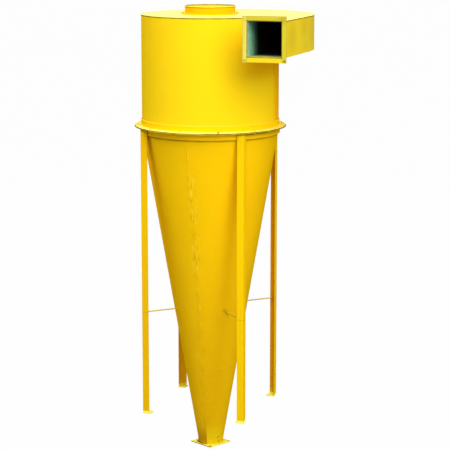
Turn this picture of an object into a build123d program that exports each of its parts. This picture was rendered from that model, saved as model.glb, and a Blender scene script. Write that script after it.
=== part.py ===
from build123d import *
from math import hypot, sqrt
import os

# Cyclone separator of welded steel sheet, in millimetres.
# The origin is on the vessel's axis, in the plane of the undersides of the four
# foot plates. +Z is up, -Y is the side of the gas inlet's mouth and +X is the
# side of the inlet duct. The dust outlet hangs below the feet.

# Sheet, stock and the fits between pieces
sheet = 3.0
roof_sheet = 4.0
seat_gap = 0.2
overrun = 20.0

# Root and toe radii of rolled angle, as shares of its thickness
root_share = 1.1
toe_share = 0.36

# Barrel and roof
barrel_r = 500.0
head_height = 804.0
roof_lip = 3.0

# Joint between barrel and cone: two rings of rolled angle, flange on flange
joint_height = 2125.0
ring_leg = 50.0
ring_t = 5.0

# Cone, its circumferential weld, the dust spigot and the dust flange
cone_top_gap = 5.0
cone_weld_height = 320.0
spigot_r = 94.0
spigot_height = 30.0
dust_drop = 299.0
dust_flange_side = 213.0
dust_flange_t = 6.0
dust_flange_turn = 18.5
dust_hole_r = 5.5
dust_hole_inset = 15.0

# Gas inlet: a square duct along +Y that runs into the scroll
inlet_w = 245.0
inlet_h = 245.0
mouth_y = -651.0
scroll_centre_y = 30.0
inlet_leg = 32.0
inlet_leg_t = 4.0
inlet_hole_r = 4.5
inlet_hole_inset = 13.0

# Gas outlet: a pipe through the roof, with a rim and a base ring
outlet_r = 182.0
outlet_rise = 59.0
outlet_depth = 400.0
rim_width = 6.0
rim_height = 7.0
base_ring_width = 31.0
base_ring_t = 3.0

# Legs of equal angle, foot plates and stay rods
leg_w = 50.0
leg_t = 5.0
foot_side = 62.0
foot_t = 6.0
foot_hole_r = 6.0
stay_r = 4.5
stay_height = 770.0

# Levels
roof_top = joint_height + ring_t + head_height
roof_under = roof_top - roof_sheet
duct_floor_top = roof_under - inlet_h
duct_floor_under = duct_floor_top - sheet
dust_flange_under = -dust_drop
spigot_bottom = dust_flange_under + dust_flange_t
spigot_top = spigot_bottom + spigot_height
outlet_top = roof_top + outlet_rise
outlet_bottom = roof_under - outlet_depth

# Radii at the joint
cone_top_r = barrel_r + cone_top_gap
upper_ring_in_r = barrel_r + seat_gap
lower_ring_in_r = cone_top_r + seat_gap

# The legs stand under the lower ring, their heels in line with its rim
leg_heel = (lower_ring_in_r + ring_leg) / sqrt(2)

# Plan of the inlet. The duct's inner wall stands tangent to the barrel. Its outer
# wall runs on as the scroll, a half circle that ends tangent to the far side.
inner_wall_x = barrel_r + seat_gap
duct_inner_x = inner_wall_x + sheet
duct_outer_x = duct_inner_x + inlet_w
outer_wall_x = duct_outer_x + sheet
scroll_end_x = -(barrel_r + seat_gap)
scroll_in_r = (duct_outer_x - scroll_end_x) / 2
scroll_out_r = scroll_in_r + sheet
scroll_centre_x = (duct_outer_x + scroll_end_x) / 2


def tube(outer_r, wall, bottom, top):
    """Upright tube on the axis."""
    ring = Circle(outer_r) - Circle(outer_r - wall)
    return Pos(0, 0, bottom) * extrude(ring, top - bottom)


def plate(face, bottom, thickness):
    """Flat plate cut to the outline of a face drawn in plan."""
    return Pos(0, 0, bottom) * extrude(face, thickness)


def plan_rect(x0, x1, y0, y1):
    """Rectangle in plan between two X and two Y values."""
    return Pos((x0 + x1) / 2, (y0 + y1) / 2) * Rectangle(x1 - x0, y1 - y0)


def angle_section(leg, thickness):
    """Equal rolled angle with its heel at zero and its legs along +X and +Y."""
    outline = Polyline(
        (0, 0), (leg, 0), (leg, thickness), (thickness, thickness), (thickness, leg), (0, leg), close=True
    )
    face = make_face(outline)
    toes = face.vertices().sort_by_distance((leg, thickness))[:1]
    toes += face.vertices().sort_by_distance((thickness, leg))[:1]
    face = fillet(toes, toe_share * thickness)
    root = face.vertices().sort_by_distance((thickness, thickness))[:1]
    return fillet(root, root_share * thickness)


def cone_radius(height):
    """Outside radius of the cone at a height."""
    share = (height - spigot_top) / (joint_height - spigot_top)
    return spigot_r + (cone_top_r - spigot_r) * share


def scroll_half(radius):
    """Half circle of the scroll in plan, on its back side."""
    left = scroll_centre_x - radius
    right = scroll_centre_x + radius
    back = plan_rect(left, right, scroll_centre_y, scroll_centre_y + radius)
    return (Pos(scroll_centre_x, scroll_centre_y) * Circle(radius)) & back


def make_barrel():
    """Barrel sheet with the window in its upper back half where the scroll opens."""
    shell = tube(barrel_r, sheet, joint_height, roof_under)
    reach = barrel_r + overrun
    right = plan_rect(0, reach, 0, reach)
    left = plan_rect(-reach, 0, scroll_centre_y, reach)
    window = plate(right + left, duct_floor_top, inlet_h + overrun)
    return shell - window


def make_roof():
    """One flat plate over barrel, duct and scroll, open for the outlet pipe."""
    over = roof_lip
    duct = plan_rect(inner_wall_x, outer_wall_x + over, mouth_y, scroll_centre_y)
    outline = Circle(barrel_r + over) + duct + scroll_half(scroll_out_r + over)
    outline -= plan_rect(outer_wall_x, outer_wall_x + over + overrun, mouth_y, mouth_y + inlet_leg + seat_gap)
    outline -= Circle(outlet_r + seat_gap)
    return plate(outline, roof_under, roof_sheet)


def make_scroll_wall():
    """Rolled sheet from the end of the duct's outer wall to the barrel's far side."""
    band = scroll_half(scroll_out_r) - Pos(scroll_centre_x, scroll_centre_y) * Circle(scroll_in_r)
    return plate(band, duct_floor_top, inlet_h)


def make_scroll_floor():
    """Floor of the duct, running on as a crescent round the barrel."""
    duct = plan_rect(inner_wall_x, outer_wall_x, mouth_y, scroll_centre_y)
    outline = duct + scroll_half(scroll_out_r) - Circle(barrel_r + seat_gap)
    return plate(outline, duct_floor_under, sheet)


def make_duct_wall(x0):
    """Flat side sheet of the duct; the inner one ends where it touches the barrel."""
    end_y = 0 if x0 == inner_wall_x else scroll_centre_y
    return plate(plan_rect(x0, x0 + sheet, mouth_y, end_y), duct_floor_top, inlet_h)


def corner_hole(x, z):
    """Cutter for one hole through the mouth flange."""
    return Pos(x, mouth_y, z) * Rot(X=90) * Cylinder(inlet_hole_r, 2 * (inlet_leg_t + overrun))


def make_inlet_flange():
    """Angle frame round the mouth: two full-height uprights and two bars between."""
    section = angle_section(inlet_leg, inlet_leg_t)
    low = duct_floor_under - inlet_leg
    high = roof_top + inlet_leg
    hole_out = inlet_leg - inlet_hole_inset
    bars = {}
    for name, face_x, side in (("inner", inner_wall_x, -1), ("outer", outer_wall_x, 1)):
        turned = section if side > 0 else mirror(section, Plane.YZ)
        bar = Pos(face_x, mouth_y, low) * extrude(turned, high - low)
        root = (1 + root_share) * inlet_leg_t
        root_x = face_x + side * root / 2
        back = Box(root + seat_gap, inlet_leg - inlet_leg_t, inlet_leg)
        mid_y = mouth_y + (inlet_leg + inlet_leg_t) / 2
        for z in (low + inlet_leg / 2, high - inlet_leg / 2):
            bar -= Pos(root_x, mid_y, z) * back
        for z in (duct_floor_under - hole_out, roof_top + hole_out):
            bar -= corner_hole(face_x + side * hole_out, z)
        bars["inlet_flange_" + name] = bar
    length = outer_wall_x - inner_wall_x
    upright = Plane((inner_wall_x, mouth_y, roof_top), x_dir=(0, 1, 0), z_dir=(1, 0, 0))
    bars["inlet_flange_top"] = extrude(upright * section, length)
    hanging = Plane((outer_wall_x, mouth_y, duct_floor_under), x_dir=(0, 1, 0), z_dir=(-1, 0, 0))
    bars["inlet_flange_bottom"] = extrude(hanging * section, length)
    return bars


def make_ring(inner_r, up):
    """Ring of rolled angle: a flange outward at the joint and a leg along the wall."""
    section = angle_section(ring_leg, ring_t)
    if not up:
        section = mirror(section, Plane.XZ)
    return revolve(Plane.XZ * (Pos(inner_r, joint_height) * section), Axis.Z)


def make_cone(bottom, top):
    """Rolled cone of sheet between two heights, its wall measured across."""
    outline = Polyline(
        (cone_radius(bottom) - sheet, bottom),
        (cone_radius(bottom), bottom),
        (cone_radius(top), top),
        (cone_radius(top) - sheet, top),
        close=True,
    )
    return revolve(Plane.XZ * make_face(outline), Axis.Z)


def make_dust_flange():
    """Square plate with a corner hole in each corner, open to the spigot."""
    outline = Rectangle(dust_flange_side, dust_flange_side) - Circle(spigot_r - sheet)
    spread = dust_flange_side - 2 * dust_hole_inset
    outline -= GridLocations(spread, spread, 2, 2) * Circle(dust_hole_r)
    return Rot(Z=45 + dust_flange_turn) * plate(outline, dust_flange_under, dust_flange_t)


def make_leg():
    """Angle leg at the +X +Y corner, heel outward, from foot plate to ring."""
    section = Pos(leg_heel, leg_heel) * Rot(Z=180) * angle_section(leg_w, leg_t)
    return plate(section, foot_t, joint_height - ring_t - foot_t)


def make_foot():
    """Foot plate under the leg, flush with its heel, with an anchor hole."""
    inner = leg_heel - foot_side
    middle = leg_heel - foot_side / 2
    outline = plan_rect(inner, leg_heel, inner, leg_heel) - Pos(middle, middle) * Circle(foot_hole_r)
    return plate(outline, 0, foot_t)


def make_stay():
    """Round rod, level and radial, from the cone's wall to the leg's inside corner."""
    corner = hypot(leg_heel - leg_t, leg_heel - leg_t)
    rod_end = corner - stay_r
    along_x = Plane((0, 0, stay_height), x_dir=(0, 1, 0), z_dir=(1, 0, 0))
    rod = extrude(along_x * Circle(stay_r), rod_end)
    outline = Polyline(
        (0, spigot_top),
        (spigot_r + seat_gap, spigot_top),
        (cone_top_r + seat_gap, joint_height),
        (0, joint_height),
        close=True,
    )
    inside_of_cone = revolve(Plane.XZ * make_face(outline), Axis.Z)
    return Rot(Z=45) * (rod - inside_of_cone)


parts = {
    "barrel_shell": make_barrel(),
    "roof_plate": make_roof(),
    "duct_inner_wall": make_duct_wall(inner_wall_x),
    "duct_outer_wall": make_duct_wall(duct_outer_x),
    "scroll_wall": make_scroll_wall(),
    "scroll_floor": make_scroll_floor(),
    "outlet_pipe": tube(outlet_r, sheet, outlet_bottom, outlet_top),
    "outlet_rim": tube(outlet_r + seat_gap + rim_width, rim_width, outlet_top - rim_height, outlet_top),
    "outlet_base_ring": tube(
        outlet_r + seat_gap + base_ring_width, base_ring_width, roof_top, roof_top + base_ring_t
    ),
    "upper_ring_angle": make_ring(upper_ring_in_r, True),
    "lower_ring_angle": make_ring(lower_ring_in_r, False),
    "cone_upper": make_cone(cone_weld_height, joint_height),
    "cone_lower": make_cone(spigot_top, cone_weld_height),
    "dust_spigot": tube(spigot_r, sheet, spigot_bottom, spigot_top),
    "dust_flange": make_dust_flange(),
}
parts.update(make_inlet_flange())

corners = (("front_right", -90), ("back_right", 0), ("back_left", 90), ("front_left", 180))
for corner_name, turn in corners:
    parts["leg_" + corner_name] = Rot(Z=turn) * make_leg()
    parts["foot_plate_" + corner_name] = Rot(Z=turn) * make_foot()
    parts["stay_rod_" + corner_name] = Rot(Z=turn) * make_stay()

os.makedirs("parts", exist_ok=True)
for node_name, solid in parts.items():
    export_step(solid, "parts/" + node_name + ".step")
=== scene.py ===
# %% [markdown]
# # A cyclone separator in yellow enamel
#
# A cyclone cleans dusty air by spinning it. The air enters the square mouth, runs round a
# scroll into the barrel and leaves clean through the pipe in the roof, while the dust
# slides down the cone. The real machine is rolled steel sheet, welded, bolted together at
# one joint and sprayed with one coat of enamel, which weather has dulled.
#
# The construction comes in finished from CAD. Here it gets its finish: welds, bolts, the
# small waves that rolling leaves in thin sheet, and paint. The pieces that show a curved
# surface are made again from the same sizes, smoother than CAD needs them.

# %% Load the frame
import random
from math import atan2, cos, exp, hypot, pi, radians, sin, sqrt

import bmesh
import bpy
from mathutils import Matrix, Vector, noise


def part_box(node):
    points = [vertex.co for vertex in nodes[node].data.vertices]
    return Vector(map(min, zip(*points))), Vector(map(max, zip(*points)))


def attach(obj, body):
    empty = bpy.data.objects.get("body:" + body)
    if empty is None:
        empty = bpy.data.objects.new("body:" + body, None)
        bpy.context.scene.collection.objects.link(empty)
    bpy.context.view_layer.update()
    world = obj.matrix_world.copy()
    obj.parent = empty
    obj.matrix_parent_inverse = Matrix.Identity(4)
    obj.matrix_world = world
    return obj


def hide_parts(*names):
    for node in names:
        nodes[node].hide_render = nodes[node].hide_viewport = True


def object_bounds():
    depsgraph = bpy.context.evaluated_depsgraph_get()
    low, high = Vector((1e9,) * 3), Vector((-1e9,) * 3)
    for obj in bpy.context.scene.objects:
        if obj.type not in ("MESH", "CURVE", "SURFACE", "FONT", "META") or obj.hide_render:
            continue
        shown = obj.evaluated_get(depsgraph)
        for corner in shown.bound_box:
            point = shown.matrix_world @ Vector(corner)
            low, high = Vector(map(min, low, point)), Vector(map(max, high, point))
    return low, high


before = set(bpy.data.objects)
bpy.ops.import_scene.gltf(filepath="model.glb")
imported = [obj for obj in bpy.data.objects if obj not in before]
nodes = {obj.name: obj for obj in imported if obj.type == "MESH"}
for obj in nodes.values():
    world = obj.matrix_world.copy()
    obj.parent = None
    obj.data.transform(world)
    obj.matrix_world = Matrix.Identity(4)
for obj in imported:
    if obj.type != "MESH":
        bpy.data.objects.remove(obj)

cad_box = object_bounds()
print("loaded", len(nodes), "CAD nodes")

# %% [markdown]
# The camera stands where the photographer stood. Its place, aim and lens were found by
# matching the ellipses of roof and joint, the legs' feet and the dust outlet's flange.

# %% Camera
CAMERA_AZIMUTH = radians(19.98)
CAMERA_DISTANCE = 12.03
CAMERA_HEIGHT = 3.652
LOOK_DOWN = radians(10.715)
LOOK_RIGHT = radians(0.512)
LENS = 132.08

camera_data = bpy.data.cameras.new("camera")
camera_data.lens = LENS
camera_data.sensor_width = 36.0
camera_data.clip_end = 400.0
camera = bpy.data.objects.new("camera", camera_data)
bpy.context.scene.collection.objects.link(camera)
camera.location = (
    CAMERA_DISTANCE * sin(CAMERA_AZIMUTH),
    -CAMERA_DISTANCE * cos(CAMERA_AZIMUTH),
    CAMERA_HEIGHT,
)
camera.rotation_euler = (pi / 2 - LOOK_DOWN, 0, CAMERA_AZIMUTH - LOOK_RIGHT)
bpy.context.scene.camera = camera
bpy.context.scene.view_settings.view_transform = "Standard"
print("camera at", [round(value, 2) for value in camera.location])

# %% [markdown]
# Every finish here is a tree of nodes, and most nodes are needed many times. So a few
# helpers come first. Most of them add a node to the tree that their inputs stand in and give
# back the result, so that a material reads like a short list of steps.

# %% Helpers for nodes


def is_socket(value):
    """True for another node's output, false for a plain value."""
    return isinstance(value, bpy.types.NodeSocket)


def feed(socket, value):
    """Link an input to another node's output, or set it to a plain value."""
    if is_socket(value):
        socket.id_data.links.new(value, socket)
    else:
        socket.default_value = value


def add_node(tree, kind, inputs=None, **settings):
    """Shader node with its settings, its inputs fed by name or number."""
    node = tree.nodes.new("ShaderNode" + kind)
    for setting, value in settings.items():
        setattr(node, setting, value)
    for key, value in (inputs or {}).items():
        feed(node.inputs[key], value)
    return node


def calc(operation, *values, clamp=False):
    """Result of one operation on sockets and plain numbers."""
    tree = next(value for value in values if is_socket(value)).id_data
    return add_node(tree, "Math", dict(enumerate(values)), operation=operation, use_clamp=clamp).outputs[0]


def times(first, second):
    """Product of two masks or numbers."""
    return calc("MULTIPLY", first, second)


def inverse(mask):
    """One minus a mask."""
    return calc("SUBTRACT", 1.0, mask)


def grain(where, scale, detail=3.0, roughness=0.5):
    """Noise at a place; three numbers as its scale draw it out one way."""
    tree = where.id_data
    if isinstance(scale, tuple):
        where = add_node(tree, "Mapping", {"Vector": where, "Scale": scale}).outputs[0]
        scale = 1.0
    inputs = {"Vector": where, "Scale": scale, "Detail": detail, "Roughness": roughness}
    return add_node(tree, "TexNoise", inputs).outputs[0]


def ramp(value, low_at, high_at):
    """Smooth step from 0 to 1 between two values."""
    inputs = {"Value": value, "From Min": low_at, "From Max": high_at}
    return add_node(value.id_data, "MapRange", inputs, interpolation_type="SMOOTHSTEP").outputs[0]


def mix_colour(factor, first, second):
    """Mix of two colours."""
    return add_node(factor.id_data, "Mix", {0: factor, 6: first, 7: second}, data_type="RGBA").outputs[2]


def axes(vector):
    """The three parts of a vector."""
    return tuple(add_node(vector.id_data, "SeparateXYZ", {0: vector}).outputs)


def along(vector, direction, operation="DOT_PRODUCT"):
    """How far a place lies along a direction, or how far from a point."""
    inputs = {0: vector, 1: direction}
    return add_node(vector.id_data, "VectorMath", inputs, operation=operation).outputs["Value"]


def new_tree(owner):
    """Emptied node tree of a material or a world."""
    owner.use_nodes = True
    owner.node_tree.nodes.clear()
    return owner.node_tree


print("helpers for nodes ready")

# %% [markdown]
# A white studio: the floor is a plain pale sheet that catches a soft shadow, and the world
# is white where the camera, a reflection or a clear surface looks at it. The light on the
# machine itself comes from a grey world, three large soft lamps in front and one behind.

# %% Floor and world
FLOOR_HEIGHT = cad_box[0].z - 0.002
FLOOR_SIZE = 300.0
FLOOR_WHITE = 0.985
FLOOR_GREY = (0.40, 0.40, 0.39, 1)
SKY_GREY = (0.97, 0.98, 1.0, 1)
AMBIENT = 0.22


def white_seen(tree, white, lit, share):
    """White for the rays that see the backdrop, and a lit shader for the light it gets."""
    rays = add_node(tree, "LightPath").outputs
    seen = rays["Is Camera Ray"]
    for ray in ("Is Glossy Ray", "Is Transmission Ray"):
        seen = calc("MAXIMUM", seen, rays[ray])
    inputs = {0: times(seen, share), 1: lit.outputs[0], 2: white.outputs[0]}
    return add_node(tree, "MixShader", inputs).outputs[0]


bm = bmesh.new()
bmesh.ops.create_grid(bm, x_segments=1, y_segments=1, size=FLOOR_SIZE / 2)
bmesh.ops.translate(bm, verts=bm.verts, vec=(0, 0, FLOOR_HEIGHT))
mesh = bpy.data.meshes.new("studio_floor")
bm.to_mesh(mesh)
bm.free()
floor = bpy.data.objects.new("studio_floor", mesh)
bpy.context.scene.collection.objects.link(floor)
floor_paint = bpy.data.materials.new("studio_floor_paint")
tree = new_tree(floor_paint)
lit = add_node(tree, "BsdfDiffuse", {"Color": FLOOR_GREY})
mix = white_seen(tree, add_node(tree, "Emission"), lit, FLOOR_WHITE)
add_node(tree, "OutputMaterial", {"Surface": mix})
mesh.materials.append(floor_paint)

world = bpy.data.worlds.new("studio_world")
tree = new_tree(world)
ambient = add_node(tree, "Background", {"Color": SKY_GREY, "Strength": AMBIENT})
mix = white_seen(tree, add_node(tree, "Background"), ambient, 1.0)
add_node(tree, "OutputWorld", {"Surface": mix})
bpy.context.scene.world = world
print("floor at", round(FLOOR_HEIGHT, 3))

# %% Lamps
LAMP_DISTANCE = 9.0


def area_lamp(name, azimuth, elevation, size, power):
    """Soft square lamp aimed at the middle of the machine."""
    target = Vector((0, 0, (cad_box[0].z + cad_box[1].z) / 2))
    turn = radians(azimuth)
    lift = radians(elevation)
    back = Vector((sin(turn) * cos(lift), -cos(turn) * cos(lift), sin(lift)))
    data = bpy.data.lights.new(name, "AREA")
    data.size = size
    data.energy = power
    lamp = bpy.data.objects.new(name, data)
    bpy.context.scene.collection.objects.link(lamp)
    lamp.location = target + back * LAMP_DISTANCE
    lamp.rotation_euler = back.to_track_quat("Z", "Y").to_euler()


area_lamp("key_lamp", azimuth=36, elevation=45, size=7.0, power=840)
area_lamp("left_lamp", azimuth=-60, elevation=50, size=6.0, power=440)
area_lamp("low_lamp", azimuth=60, elevation=20, size=6.0, power=190)
area_lamp("back_lamp", azimuth=200, elevation=25, size=7.0, power=190)
print("four lamps placed")

# %% [markdown]
# Sizes are read from the CAD nodes' boxes, so that each piece sits where its solid sits.

# %% Sizes read from the frame
MM = 0.001


def low(node):
    """Lowest corner of a CAD node."""
    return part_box(node)[0]


def high(node):
    """Highest corner of a CAD node."""
    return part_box(node)[1]


sheet = high("duct_inner_wall").x - low("duct_inner_wall").x
barrel_radius = high("barrel_shell").x
joint_height = low("barrel_shell").z
roof_under = low("roof_plate").z
roof_top = high("roof_plate").z
duct_floor_top = low("duct_outer_wall").z
duct_floor_under = low("scroll_floor").z
cone_top_radius = high("cone_upper").x
cone_weld_height = low("cone_upper").z
spigot_top = low("cone_lower").z
spigot_bottom = low("dust_spigot").z
spigot_radius = high("dust_spigot").x
outlet_radius = high("outlet_pipe").x
ring_radius = -low("upper_ring_angle").x
ring_top = high("upper_ring_angle").z
ring_bottom = low("lower_ring_angle").z
scroll_right = high("duct_outer_wall").x
scroll_left = low("scroll_wall").x
scroll_start_y = high("duct_outer_wall").y
scroll_centre = Vector(((scroll_right + scroll_left) / 2, scroll_start_y, 0))
rod_height = (low("stay_rod_front_right").z + high("stay_rod_front_right").z) / 2
mouth_y = low("inlet_flange_bottom").y
print("barrel radius", round(barrel_radius, 4), "cone top radius", round(cone_top_radius, 4))

# %% [markdown]
# The enamel is one coat over everything outside, so its look is made once, in node groups
# that each material places with its own values. Two carry what changes over the whole coat:
# slow differences in colour with rain dust and a painted pale sheen on upward faces, and the
# spray's fine orange peel.

# %% Node groups for the coat
PALE_SHEEN = (0.92, 0.860, 0.240, 1)
RAIN_DUST = (0.30, 0.24, 0.12, 1)
WHITE = (1, 1, 1, 1)
NOWHERE = (0, 0, 0)
UP = (0, 0, 1)
SOCKET_KINDS = {1: "NodeSocketFloat", 3: "NodeSocketVector", 4: "NodeSocketColor"}


def new_group(name, **inputs):
    """Node group and its inputs; a default's length tells number, vector and colour apart."""
    group = bpy.data.node_groups.new(name, "ShaderNodeTree")
    for socket_name, value in inputs.items():
        kind = SOCKET_KINDS[len(value) if isinstance(value, tuple) else 1]
        group.interface.new_socket(socket_name, in_out="INPUT", socket_type=kind).default_value = value
    return group, group.nodes.new("NodeGroupInput").outputs


def put_out(group, **results):
    """Results of a group: a colour under the name Colour, numbers under the others."""
    for name in results:
        kind = "NodeSocketColor" if name == "Colour" else "NodeSocketFloat"
        group.interface.new_socket(name, in_out="OUTPUT", socket_type=kind)
    leave = group.nodes.new("NodeGroupOutput")
    for name, result in results.items():
        feed(leave.inputs[name], result)
    print("node group", group.name)
    return group


def make_coat_group():
    """Coat colour with slow unevenness, rain runs, dust on level faces, painted sheen on upward ones."""
    group, given = new_group(
        "coat_variation", Position=NOWHERE, Colour=WHITE, Thin=WHITE, Dust=0.1, Chalk=0.0
    )
    where = given["Position"]
    patch = ramp(grain(where, (1.6, 1.6, 0.7), 2.0), 0.35, 0.7)
    thin = mix_colour(times(patch, 0.5), given["Colour"], given["Thin"])
    streak = ramp(grain(where, (38, 38, 1.3), 4.0, 0.6), 0.56, 0.78)
    specks = ramp(grain(where, 90.0, 2.0), 0.62, 0.75)
    normal = add_node(group, "NewGeometry").outputs["Normal"]
    upward = ramp(axes(normal)[2], 0.5, 0.95)
    dusty = calc("ADD", times(upward, 0.5), times(streak, 0.35))
    dusty = calc("ADD", dusty, times(specks, 0.25))
    amount = calc("MULTIPLY", dusty, given["Dust"], clamp=True)
    # Painted pale sheen on faces that look up.
    sheened = mix_colour(times(upward, given["Chalk"]), thin, PALE_SHEEN)
    return put_out(group, Colour=mix_colour(amount, sheened, RAIN_DUST), Dust=amount)


def make_peel_group():
    """Height of the spray's orange peel with a few long sags."""
    group, given = new_group("orange_peel", Position=NOWHERE)
    peel = grain(given["Position"], 260.0, 2.0)
    sag = grain(given["Position"], (60, 60, 12), 1.0)
    return put_out(group, Height=calc("ADD", times(peel, 0.35), times(sag, 0.65)))


coat_group = make_coat_group()
peel_group = make_peel_group()

# %% [markdown]
# Three more node groups carry marks that sit in one place. One group darkens along a plane
# that can be set across any direction, for grime along a joint and for painted shade under
# a flange, a rim or an edge. A chip, a stain or a painted dot of shade has a centre and a
# reach. A rough weld leaves short flecks under the paint. Noise tears the border of the first
# two, as real grime thins out unevenly.

# %% Node groups for grime and painted shade along a plane, single scars and flecks


def make_line_group():
    """Grime and painted shade along a plane: strongest on it, gone at its reach, broken by noise."""
    group, given = new_group("grime_and_shade_line", Position=NOWHERE, Across=UP, Place=0.0, Reach=0.01, Strength=1.0)
    where = given["Position"]
    off = calc("SUBTRACT", along(where, given["Across"]), given["Place"])
    off = calc("DIVIDE", calc("ABSOLUTE", off), given["Reach"])
    near = inverse(ramp(off, 0.3, 1.0))
    broken = calc("MULTIPLY_ADD", ramp(grain(where, 14.0), 0.25, 0.6), 0.5, 0.5)
    return put_out(group, Mask=times(times(near, broken), given["Strength"]))


def make_scar_group():
    """Patch of a given radius round a point, with a torn rim."""
    group, given = new_group("scar", Position=NOWHERE, Centre=NOWHERE, Radius=0.01, Strength=1.0)
    where = given["Position"]
    share = calc("DIVIDE", along(where, given["Centre"], "DISTANCE"), given["Radius"])
    torn = times(grain(where, 120.0, 3.0, 0.7), 0.9)
    mask = inverse(ramp(calc("ADD", share, torn), 0.6, 1.4))
    return put_out(group, Mask=times(mask, given["Strength"]))


def make_fleck_group():
    """Short upright flecks, some dark and some pale, as a rough weld leaves under paint."""
    group, given = new_group("weld_flecks", Position=NOWHERE, Strength=1.0)
    rough = grain(given["Position"], (80, 80, 17), 1.0)
    dark = times(inverse(ramp(rough, 0.32, 0.48)), given["Strength"])
    return put_out(group, Dark=dark, Pale=times(ramp(rough, 0.52, 0.66), given["Strength"]))


line_group = make_line_group()
scar_group = make_scar_group()
fleck_group = make_fleck_group()

# %% [markdown]
# Every sheet was sprayed from one pot, and weather has changed it since. The cone and legs
# kept their warm yellow and the duct and its frame faded towards lemon, while the roof's
# near-white colour is a painted sheen. So there is one recipe for enamel, called again for each
# part with its own colour, gloss, dust and marks. In the photograph the upright faces mirror
# nothing pale at their edges, as dull old paint does, so only the duct and the roof keep a
# trace of gloss.

# %% Enamel outside
WARM_YELLOW = (0.95, 0.570, 0.003, 1)
LEG_YELLOW = (0.90, 0.530, 0.003, 1)
BARREL_YELLOW = (0.95, 0.650, 0.008, 1)
LEMON = (0.82, 0.600, 0.003, 1)
ROD_SHADED_YELLOW = (0.62, 0.440, 0.020, 1)
ROOF_SHEEN_YELLOW = (0.92, 0.800, 0.125, 1)
OUTLET_YELLOW = (0.87, 0.500, 0.002, 1)
OUTLET_INSIDE = (0.80, 0.600, 0.040, 1)
RING_YELLOW = (0.99, 0.620, 0.003, 1)
RIM_HIGHLIGHT_LEMON = (0.93, 0.820, 0.090, 1)
FLANGE_LEMON = (0.99, 0.940, 0.100, 1)
THIN_SHARE = (0.95, 0.87, 0.80, 1)
# Dark colour of grime, and of painted shade under edges and in joints.
GRIME_AND_SHADE = (0.120, 0.064, 0.008, 1)
PAINT_ROUGHNESS = 0.45
PEEL_STRENGTH = 0.25
PEEL_DEPTH = 0.6 * MM


def place_group(group, where, **values):
    """Results of a group in a material, fed with the place and its own values."""
    return add_node(where.id_data, "Group", {"Position": where, **values}, node_tree=group).outputs


def line_mask(where, across, place, reach, strength):
    """Mask of grime along one plane."""
    values = {"Across": across, "Place": place, "Reach": reach, "Strength": strength}
    return place_group(line_group, where, **values)["Mask"]


def scar_mask(where, centre, radius, strength):
    """Mask of one scar."""
    return place_group(scar_group, where, Centre=centre, Radius=radius, Strength=strength)["Mask"]


def new_paint(name):
    """Material with one Principled shader: itself, the shader's inputs and the place."""
    material = bpy.data.materials.new(name)
    tree = new_tree(material)
    shader = add_node(tree, "BsdfPrincipled")
    add_node(tree, "OutputMaterial", {"Surface": shader.outputs[0]})
    return material, shader.inputs, add_node(tree, "TexCoord").outputs["Object"]


def make_enamel(name, colour, gloss=0.0, dust=0.10, top_sheen=0.0, dents=0.0, lines=(), scars=(), tint=None):
    """Yellow enamel with the shared groups, at its own colour, gloss, dust, grime and painted shade."""
    material, inputs, where = new_paint(name)
    tree = where.id_data
    thin = [part * share for part, share in zip(colour, THIN_SHARE)]
    coat = place_group(coat_group, where, Colour=colour, Thin=thin, Dust=dust, Chalk=top_sheen)
    painted = coat["Colour"]
    if tint:
        painted = tint(where, painted)
    masks = [line_mask(where, *line) for line in lines]
    masks += [scar_mask(where, *scar) for scar in scars]
    if masks:
        strongest = masks[0]
        for mask in masks[1:]:
            strongest = calc("MAXIMUM", strongest, mask)
        painted = mix_colour(strongest, painted, GRIME_AND_SHADE)
    feed(inputs["Base Color"], painted)
    feed(inputs["Roughness"], calc("MULTIPLY_ADD", coat["Dust"], 0.5, PAINT_ROUGHNESS))
    inputs["Specular IOR Level"].default_value = gloss
    peel = place_group(peel_group, where)["Height"]
    relief = add_node(tree, "Bump", {"Strength": PEEL_STRENGTH, "Distance": PEEL_DEPTH, "Height": peel})
    if dents:
        dented = add_node(tree, "Bump", {"Distance": dents, "Height": grain(where, 5.5, 2.0)})
        feed(relief.inputs["Normal"], dented.outputs[0])
    feed(inputs["Normal"], relief.outputs[0])
    return material


enamel = make_enamel("yellow_enamel", WARM_YELLOW)
print("enamel recipe tried on", enamel.name)

# %% [markdown]
# The marks stand where the photograph shows them: grime with painted shade under the roof's
# edge and in the joint, painted shadow under the lower ring, on the legs' tops and under the
# pipe's rim, painted shade towards the foot of the cone, a smear at the stay rod's root, and
# dirt round the foot of the neck. Each is a plane or a point with a reach. The helpers that
# place them know the cone, the camera's side and the seam, which drifts to the right on its
# way down.

# %% Places on barrel and cone
BARREL_SEAM = radians(-3.4)
CONE_SEAM = -pi / 2
SEAM_DRIFT = radians(3.4)
SEAM_DRIFT_FROM = 1.9
SEAM_DRIFT_TO = 1.0


def cone_at(height):
    """Outside radius of the cone at a height."""
    share = (height - spigot_top) / (joint_height - spigot_top)
    return spigot_radius + (cone_top_radius - spigot_radius) * share


def cone_seam_at(height):
    """Turn of the cone's seam at a height."""
    drift = max(0.0, min(1.0, (SEAM_DRIFT_FROM - height) / (SEAM_DRIFT_FROM - SEAM_DRIFT_TO)))
    return CONE_SEAM + SEAM_DRIFT * drift


def on_wall(radius, turn, height):
    """Point at a radius, a turn and a height."""
    return Vector((radius * cos(turn), radius * sin(turn), height))


def seen_at(radius, degrees, height):
    """Point at a radius and height, by its angle right of the line to the camera."""
    return on_wall(radius, CAMERA_AZIMUTH + radians(degrees) - pi / 2, height)


def on_cone(height, turn, lift=0.0):
    """Point on the cone's outside."""
    return on_wall(cone_at(height) + lift, turn, height)


def rod_root(degrees, sideways=0.0, raised=0.0):
    """Point on the cone at or near the root of a stay rod."""
    return on_cone(rod_height + raised, radians(degrees + sideways))


def sideways_of(turn):
    """Level direction across a seam that stands at a turn."""
    return on_wall(1.0, turn + pi / 2, 0)


print("cone radius at the rods", round(cone_at(rod_height), 4))
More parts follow.
